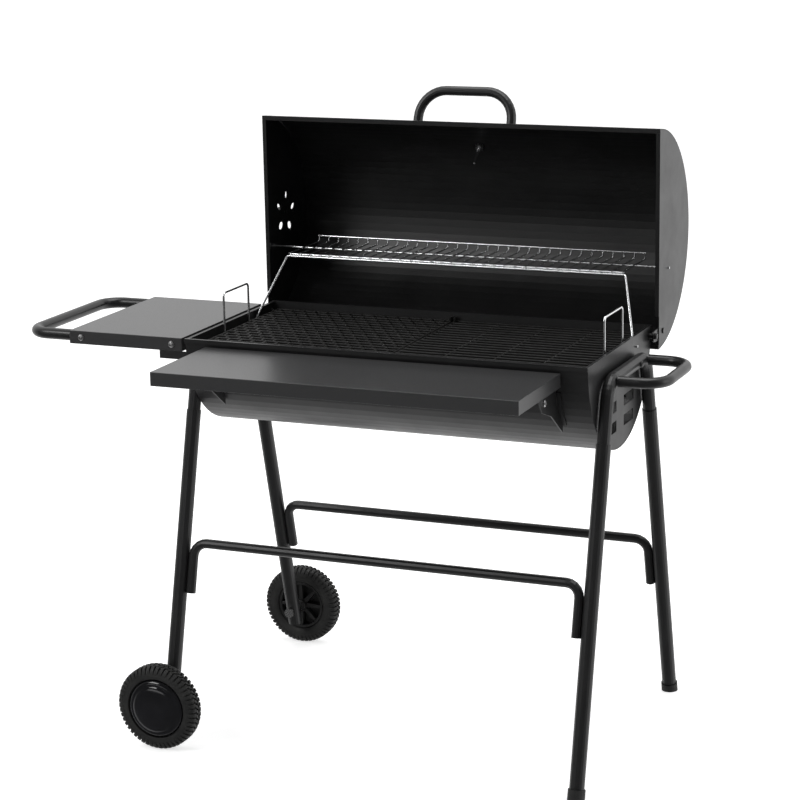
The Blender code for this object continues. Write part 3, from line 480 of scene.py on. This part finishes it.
def build_hub_cap(place, gloss):
    """Domed glossy cap with a stepped rim and a shallow dish in the middle."""
    hub, out = wheel_frame(place)
    node = "hub_cap_" + place
    base = min(abs(low(node).y - hub.y), abs(high(node).y - hub.y))
    outline = [(0.0, base + 0.0132), (0.0060, base + 0.0133), (0.0120, base + 0.0137),
               (0.0150, base + 0.0145), (0.0170, base + 0.0148), (0.0200, base + 0.0146),
               (0.0280, base + 0.0136), (0.0350, base + 0.0121), (0.0410, base + 0.0104),
               (0.0445, base + 0.0090), (0.0456, base + 0.0078), (0.0468, base + 0.0076),
               (0.0500, base + 0.0072), (0.0530, base + 0.0056), (0.0553, base + 0.0034),
               (0.0566, base + 0.0012), (0.0566, base), (0.0, base)]
    turned("hub_dome_" + place, outline, hub, (0, out, 0), gloss, "wheel_" + place, (node,),
           128, 50)


# ---- bent handle bars -------------------------------------------------------------------------
def build_side_handle(black):
    bottom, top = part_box("side_handle")
    radius = (top.z - bottom.z) / 2
    height = (top.z + bottom.z) / 2
    left, front, rear = bottom.x + radius, bottom.y + radius, top.y - radius
    corners = [(top.x, front, height), (left, front, height), (left, rear, height), (top.x, rear, height)]
    bars("side_handle_bar", [rounded_path(corners, SIDE_HANDLE_BEND)], radius, black, "grill",
         ("side_handle",), 8)


def build_push_handle(black):
    bottom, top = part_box("push_handle")
    radius = (top.z - bottom.z) / 2
    height = (top.z + bottom.z) / 2
    right, front, rear = top.x - radius, bottom.y + radius, top.y - radius
    corners = [(bottom.x, front, height), (right, front, height), (right, rear, height),
               (bottom.x, rear, height)]
    bars("push_handle_bar", [rounded_path(corners, PUSH_HANDLE_BEND)], radius, black, "grill",
         ("push_handle",), 8)


# ---- chrome wires -----------------------------------------------------------------------------
def build_lift_handle(word, chrome_look):
    bottom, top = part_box("lift_handle_" + word)
    x = (bottom.x + top.x) / 2
    front, rear = bottom.y + WIRE, top.y - WIRE
    corners = [(x, front, bottom.z), (x, front, top.z - WIRE), (x, rear, top.z - WIRE), (x, rear, bottom.z)]
    bars("lift_handle_wire_" + word, [rounded_path(corners, 0.008)], WIRE, chrome_look, "grill",
         ("lift_handle_" + word,))


def build_bail(chrome_look):
    bottom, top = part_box("rack_bail")
    foot = Vector(JOINTS["bail_pivot"]["pos_m"])
    rod_y, rod_z = top.y - WIRE, top.z - WIRE
    reach = (top.x - bottom.x) / 2
    corners = [(MID_X - reach, foot.y, foot.z), (MID_X - BAIL_FOOT_X, foot.y, foot.z),
               (MID_X - BAIL_TOP_X, rod_y, rod_z), (MID_X + BAIL_TOP_X, rod_y, rod_z),
               (MID_X + BAIL_FOOT_X, foot.y, foot.z), (MID_X + reach, foot.y, foot.z)]
    bars("rack_bail_wire", [rounded_path(corners, 0.0045, 8)], WIRE, chrome_look, "bail",
         ("rack_bail",))


def build_rack(chrome_look):
    bottom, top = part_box("warming_rack")
    pivot = Vector(JOINTS["rack_pivot"]["pos_m"])
    fence_y, fence_z = top.y - WIRE, top.z - WIRE
    wire_z = pivot.z + 0.0030
    front_y = bottom.y + 0.0002
    thin = []
    for number in range(RACK_WIRES):
        x = MID_X + RACK_HALF_LENGTH * (2 * number / (RACK_WIRES - 1) - 1) * 0.996
        corners = [(x, front_y, wire_z), (x, fence_y, wire_z), (x, fence_y, fence_z)]
        thin.append(rounded_path(corners, 0.0030, 5))
    bars("rack_cross_wires", thin, THIN_WIRE, chrome_look, "rack", ("warming_rack",), 3)
    front_wire_y = MID_Y + RACK_FRONT_Y
    left, right = MID_X - RACK_HALF_LENGTH, MID_X + RACK_HALF_LENGTH
    long_runs = [[(left, front_wire_y, pivot.z), (right, front_wire_y, pivot.z)],
                 [(left, fence_y, fence_z), (right, fence_y, fence_z)],
                 [(bottom.x, pivot.y, pivot.z), (top.x, pivot.y, pivot.z)]]
    bars("rack_long_wires", long_runs, WIRE, chrome_look, "rack", ())


# ---- cooking grates ---------------------------------------------------------------------------
def rounded_bar(work, start, end, width, top, depth):
    """A cast bar from start to end (X, Y) with a rounded top and tapering sides."""
    along = Vector((end[0] - start[0], end[1] - start[1], 0.0)).normalized()
    across = Vector((-along.y, along.x, 0.0))
    half = width / 2
    section = [(-half * 0.70, -depth), (-half, -depth * 0.35), (-half * 0.78, -depth * 0.12),
               (-half * 0.36, 0.0), (half * 0.36, 0.0), (half * 0.78, -depth * 0.12),
               (half, -depth * 0.35), (half * 0.70, -depth)]
    ends = []
    for spot in (start, end):
        ends.append([work.verts.new(Vector((spot[0], spot[1], top)) + across * side
                                    + Vector((0, 0, drop))) for side, drop in section])
    count = len(section)
    for index in range(count):
        ahead = (index + 1) % count
        work.faces.new((ends[0][index], ends[0][ahead], ends[1][ahead], ends[1][index]))
    work.faces.new(list(reversed(ends[0])))
    work.faces.new(ends[1])


def build_cooking_grate(word, iron):
    """Long bars along X in an outer frame. The left grate has short staggered links between its bars."""
    node = "cooking_grate_" + word
    bottom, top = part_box(node)
    depth = top.z - bottom.z
    pitch = (top.y - bottom.y - BAR_WIDTH) / GRATE_ROWS
    edge = BAR_WIDTH / 2

    def build(work):
        for row in range(GRATE_ROWS + 1):
            y = bottom.y + edge + pitch * row
            rounded_bar(work, (bottom.x + 0.0004, y), (top.x - 0.0004, y), BAR_WIDTH, top.z, depth)
        for x in (bottom.x + edge, top.x - edge):
            rounded_bar(work, (x, bottom.y), (x, top.y), BAR_WIDTH, top.z - 0.0002, depth)
        if word == "left":
            for row in range(GRATE_ROWS):
                staggered_links(work, row, bottom, top, pitch, depth)
        else:
            for share in CROSS_BAR_SHARES:
                x = bottom.x + (top.x - bottom.x) * share
                rounded_bar(work, (x, bottom.y), (x, top.y), BAR_WIDTH * 0.9, top.z - 0.0012,
                            depth - 0.0012)

    grate = mesh_piece(node + "_bars", build, iron, "grill", (node,), 50)
    soften(grate, 0.0005)


def staggered_links(work, row, bottom, top, pitch, depth):
    """Short links between two bars; each row is shifted by half a LINK_STEP, like laid bricks."""
    offset = LINK_STEP * (0.5 if row % 2 else 1.0)
    y = bottom.y + BAR_WIDTH / 2 + pitch * row
    x = bottom.x + offset
    while x < top.x - 0.006:
        rounded_bar(work, (x, y), (x, y + pitch), BAR_WIDTH * 1.1, top.z - 0.0002, depth)
        x += LINK_STEP


def build_divider(iron):
    """The two raised lugs at the back of the joint between the grates."""
    left_top = high("cooking_grate_left")
    right_low = low("cooking_grate_right")
    middle = (left_top.x + right_low.x) / 2
    back = left_top.y

    def build(work):
        for side in (-1, 1):
            x = middle + side * 0.0044
            rounded_bar(work, (x, back - 0.014), (x, back - 0.0005), 0.0050, left_top.z + 0.0075, 0.0100)

    lugs = mesh_piece("grate_lugs", build, iron, "grill", (), 50)
    soften(lugs, 0.0006)


# ---- thermometer ------------------------------------------------------------------------------
def build_thermometer(metal, face, ink, red, pane, steel):
    """Case, bezel, glass, printed scale and needle outside the lid; threaded neck and stem inside it."""
    nut = centre("thermometer_nut")
    out = Vector((0.0, 1.0, 1.0)).normalized()
    seat = nut + out * 0.0057
    case = [(0.0, 0.0100), (0.0248, 0.0100), (0.0252, 0.0136), (0.0262, 0.0140), (0.0280, 0.0138),
            (0.0292, 0.0126), (0.0298, 0.0108), (0.0298, 0.0042), (0.0290, 0.0034), (0.0180, 0.0028),
            (0.0080, 0.0022), (0.0046, 0.0006), (0.0044, -0.0010)]
    neck = []
    for ring in range(9):
        neck += [(0.0046, -0.0016 - ring * 0.0018), (0.0041, -0.0025 - ring * 0.0018)]
    stem = [(0.0038, -0.0186), (0.0024, -0.0194), (0.0023, -0.0470), (0.0012, -0.0486), (0.0, -0.0488)]
    turned("thermometer_case", case + neck + stem, seat, out, metal, "lid", ("thermometer",),
           96, 30)
    turned("thermometer_face", [(0.0, 0.0106), (0.0246, 0.0106), (0.0246, 0.0101), (0.0, 0.0101)],
           seat, out, face, "lid", (), 72)
    turned("thermometer_glass", [(0.0, 0.0137), (0.0150, 0.0134), (0.0250, 0.0128), (0.0250, 0.0119),
                                 (0.0150, 0.0125), (0.0, 0.0128)], seat, out, pane, "lid", (), 72)
    right = Vector((-1.0, 0.0, 0.0))
    up = out.cross(right).normalized()

    def flat_mark(work, angle, start, end, width, lift):
        along = right * math.cos(angle) + up * math.sin(angle)
        across = out.cross(along)
        corners = []
        for level in (lift, lift + 0.00025):
            for reach, side in ((start, -width), (end, -width * 0.7), (end, width * 0.7), (start, width)):
                corners.append(seat + along * reach + across * side + out * level)
        add_block(work, corners)

    def scale(work):
        for mark in range(SCALE_MARKS + 1):
            angle = math.radians(225 - 270 * mark / SCALE_MARKS)
            start, width = (0.0175, 0.0005) if mark % 4 == 0 else (0.0200, 0.00025)
            flat_mark(work, angle, start, 0.0228, width, 0.0107)

    def needle(work):
        flat_mark(work, math.radians(215), -0.0050, 0.0190, 0.0007, 0.0112)

    mesh_piece("thermometer_scale", scale, ink, "lid")
    mesh_piece("thermometer_needle", needle, red, "lid")
    pin = [(0.0, 0.0122), (0.0016, 0.0120), (0.0019, 0.0113), (0.0019, 0.0107), (0.0, 0.0107)]
    turned("thermometer_pin", pin, seat, out, steel, "lid", (), 32)


# ---- materials on the CAD nodes ---------------------------------------------------------------
def dress_cad_nodes(looks):
    """Give each carried-over CAD node its material and smooth shading."""
    slots = {entry["node"]: entry["material_slot"] for entry in frame["record"]["subparts"]}
    for name, node in NODES.items():
        node.data.materials.clear()
        node.data.materials.append(looks[slots[name]])
        smooth(node.data, CAD_SMOOTH_ANGLE)


# ---- stage ------------------------------------------------------------------------------------
def build_floor():
    mesh = bpy.data.meshes.new("floor")
    work = bmesh.new()
    bmesh.ops.create_grid(work, x_segments=2, y_segments=2, size=60.0)
    work.to_mesh(mesh)
    work.free()
    floor = bpy.data.objects.new("floor", mesh)
    bpy.context.scene.collection.objects.link(floor)
    paint = Paint("pale floor", (0.92, 0.92, 0.92), 0.0, 0.9)
    paint.vary_roughness(paint.noise(0.5, 2.0), 0.85, 0.95)
    paint.shader.inputs["Specular IOR Level"].default_value = 0.0
    paint.shader.inputs["Emission Color"].default_value = (1.0, 1.0, 1.0, 1.0)
    paint.shader.inputs["Emission Strength"].default_value = 0.62
    mesh.materials.append(paint.material)
    floor.visible_glossy = False


def area_light(name, spot, aim, size, power):
    light = bpy.data.lights.new(name, "AREA")
    light.shape = "RECTANGLE"
    light.size, light.size_y = size
    light.energy = power
    lamp = bpy.data.objects.new(name, light)
    bpy.context.scene.collection.objects.link(lamp)
    lamp.location = spot
    lamp.rotation_euler = (Vector(aim) - Vector(spot)).to_track_quat("-Z", "Y").to_euler()


def build_world():
    """A pale room: bright behind, above and beside the grill, darker in front of it."""
    world = bpy.data.worlds.new("studio")
    bpy.context.scene.world = world
    world.use_nodes = True
    tree = world.node_tree
    background = tree.nodes["Background"]
    direction = tree.nodes.new("ShaderNodeTexCoord").outputs["Generated"]
    split = tree.nodes.new("ShaderNodeSeparateXYZ")
    tree.links.new(direction, split.inputs["Vector"])
    ramp = tree.nodes.new("ShaderNodeMapRange")
    ramp.interpolation_type = "SMOOTHSTEP"
    ramp.inputs["From Min"].default_value = -0.45
    ramp.inputs["From Max"].default_value = 0.35
    ramp.inputs["To Min"].default_value = 0.08
    ramp.inputs["To Max"].default_value = 1.0
    tree.links.new(split.outputs["Y"], ramp.inputs["Value"])
    tree.links.new(ramp.outputs["Result"], background.inputs["Strength"])
    background.inputs["Color"].default_value = (1.0, 1.0, 1.0, 1.0)


def build_lights():
    area_light("key_softbox", (-2.6, -3.2, 3.6), (0.1, 0.0, 0.7), (2.2, 1.6), 75.0)
    area_light("top_softbox", (0.2, 0.2, 4.2), (0.1, 0.0, 0.7), (3.2, 2.4), 70.0)
    area_light("right_softbox", (4.6, 0.6, 1.6), (0.2, 0.0, 0.7), (1.8, 2.6), 16.0)
    area_light("front_strip", (-2.4, -5.6, 1.30), (0.1, 0.2, 0.9), (3.6, 0.5), 10.0)


def build_camera():
    """The photograph's viewing angle: from the front right, a little above the grates."""
    azimuth, elevation, roll = math.radians(22.68), math.radians(13.6), math.radians(-1.01)
    shift = Vector((MID_X, MID_Y, 0.0))
    spot = Vector((1.7049, -4.1801, 1.7331)) + shift
    back = Vector((math.sin(azimuth) * math.cos(elevation), -math.cos(azimuth) * math.cos(elevation),
                   math.sin(elevation)))
    level = Vector((math.cos(azimuth), math.sin(azimuth), 0.0))
    upright = back.cross(level)
    right = level * math.cos(roll) + upright * math.sin(roll)
    up = back.cross(right)
    data = bpy.data.cameras.new("camera")
    data.sensor_width = 36.0
    data.lens = 109.14
    camera = bpy.data.objects.new("camera", data)
    bpy.context.scene.collection.objects.link(camera)
    turn = Matrix((right, up, back)).transposed().to_4x4()
    camera.matrix_world = Matrix.Translation(spot) @ turn
    bpy.context.scene.camera = camera


# ---- the whole scene --------------------------------------------------------------------------
def build_all():
    powder = coated_steel("powder coat", (0.0100, 0.0100, 0.0104), (0.0135, 0.0135, 0.0140), 0.34, 0.44)
    handle = coated_steel("handle coat", (0.0080, 0.0080, 0.0084), (0.0110, 0.0110, 0.0114), 0.28, 0.38)
    enamel = coated_steel("lid enamel", (0.0060, 0.0060, 0.0063), (0.0085, 0.0085, 0.0089), 0.30, 0.40)
    shelf = shelf_steel()
    bright = chrome()
    steel = zinc()
    iron = cast_iron()
    rubber = tyre_rubber()
    plastic = moulded("rim plastic", (0.013, 0.013, 0.013), 0.34, 0.46, 0.00004)
    foot = moulded("foot rubber", (0.014, 0.014, 0.014), 0.55, 0.70, 0.00008)
    gloss = moulded("hub gloss", (0.006, 0.006, 0.007), 0.07, 0.13, 0.000008)
    dress_cad_nodes({"powder_coat": powder, "handle_coat": handle, "lid_enamel": enamel, "shelf_coat": shelf,
                     "zinc_steel": steel, "chrome_wire": bright, "grate_iron": iron, "tyre_rubber": rubber,
                     "foot_rubber": foot, "rim_plastic": plastic, "hub_gloss": gloss})
    for place in ("front", "rear"):
        build_tyre(place, rubber)
        build_rim(place, plastic)
        build_hub_cap(place, gloss)
    build_side_handle(handle)
    build_push_handle(handle)
    for word in ("left", "right"):
        build_lift_handle(word, bright)
        build_cooking_grate(word, iron)
    build_divider(iron)
    build_bail(bright)
    build_rack(bright)
    build_thermometer(bright, dial_face(), dial_ink("dial ink", (0.02, 0.02, 0.02)),
                      dial_ink("needle red", (0.45, 0.02, 0.02)), glass(), steel)
    build_floor()
    build_world()
    build_lights()
    build_camera()
    bpy.context.scene.view_settings.view_transform = "Standard"


build_all()
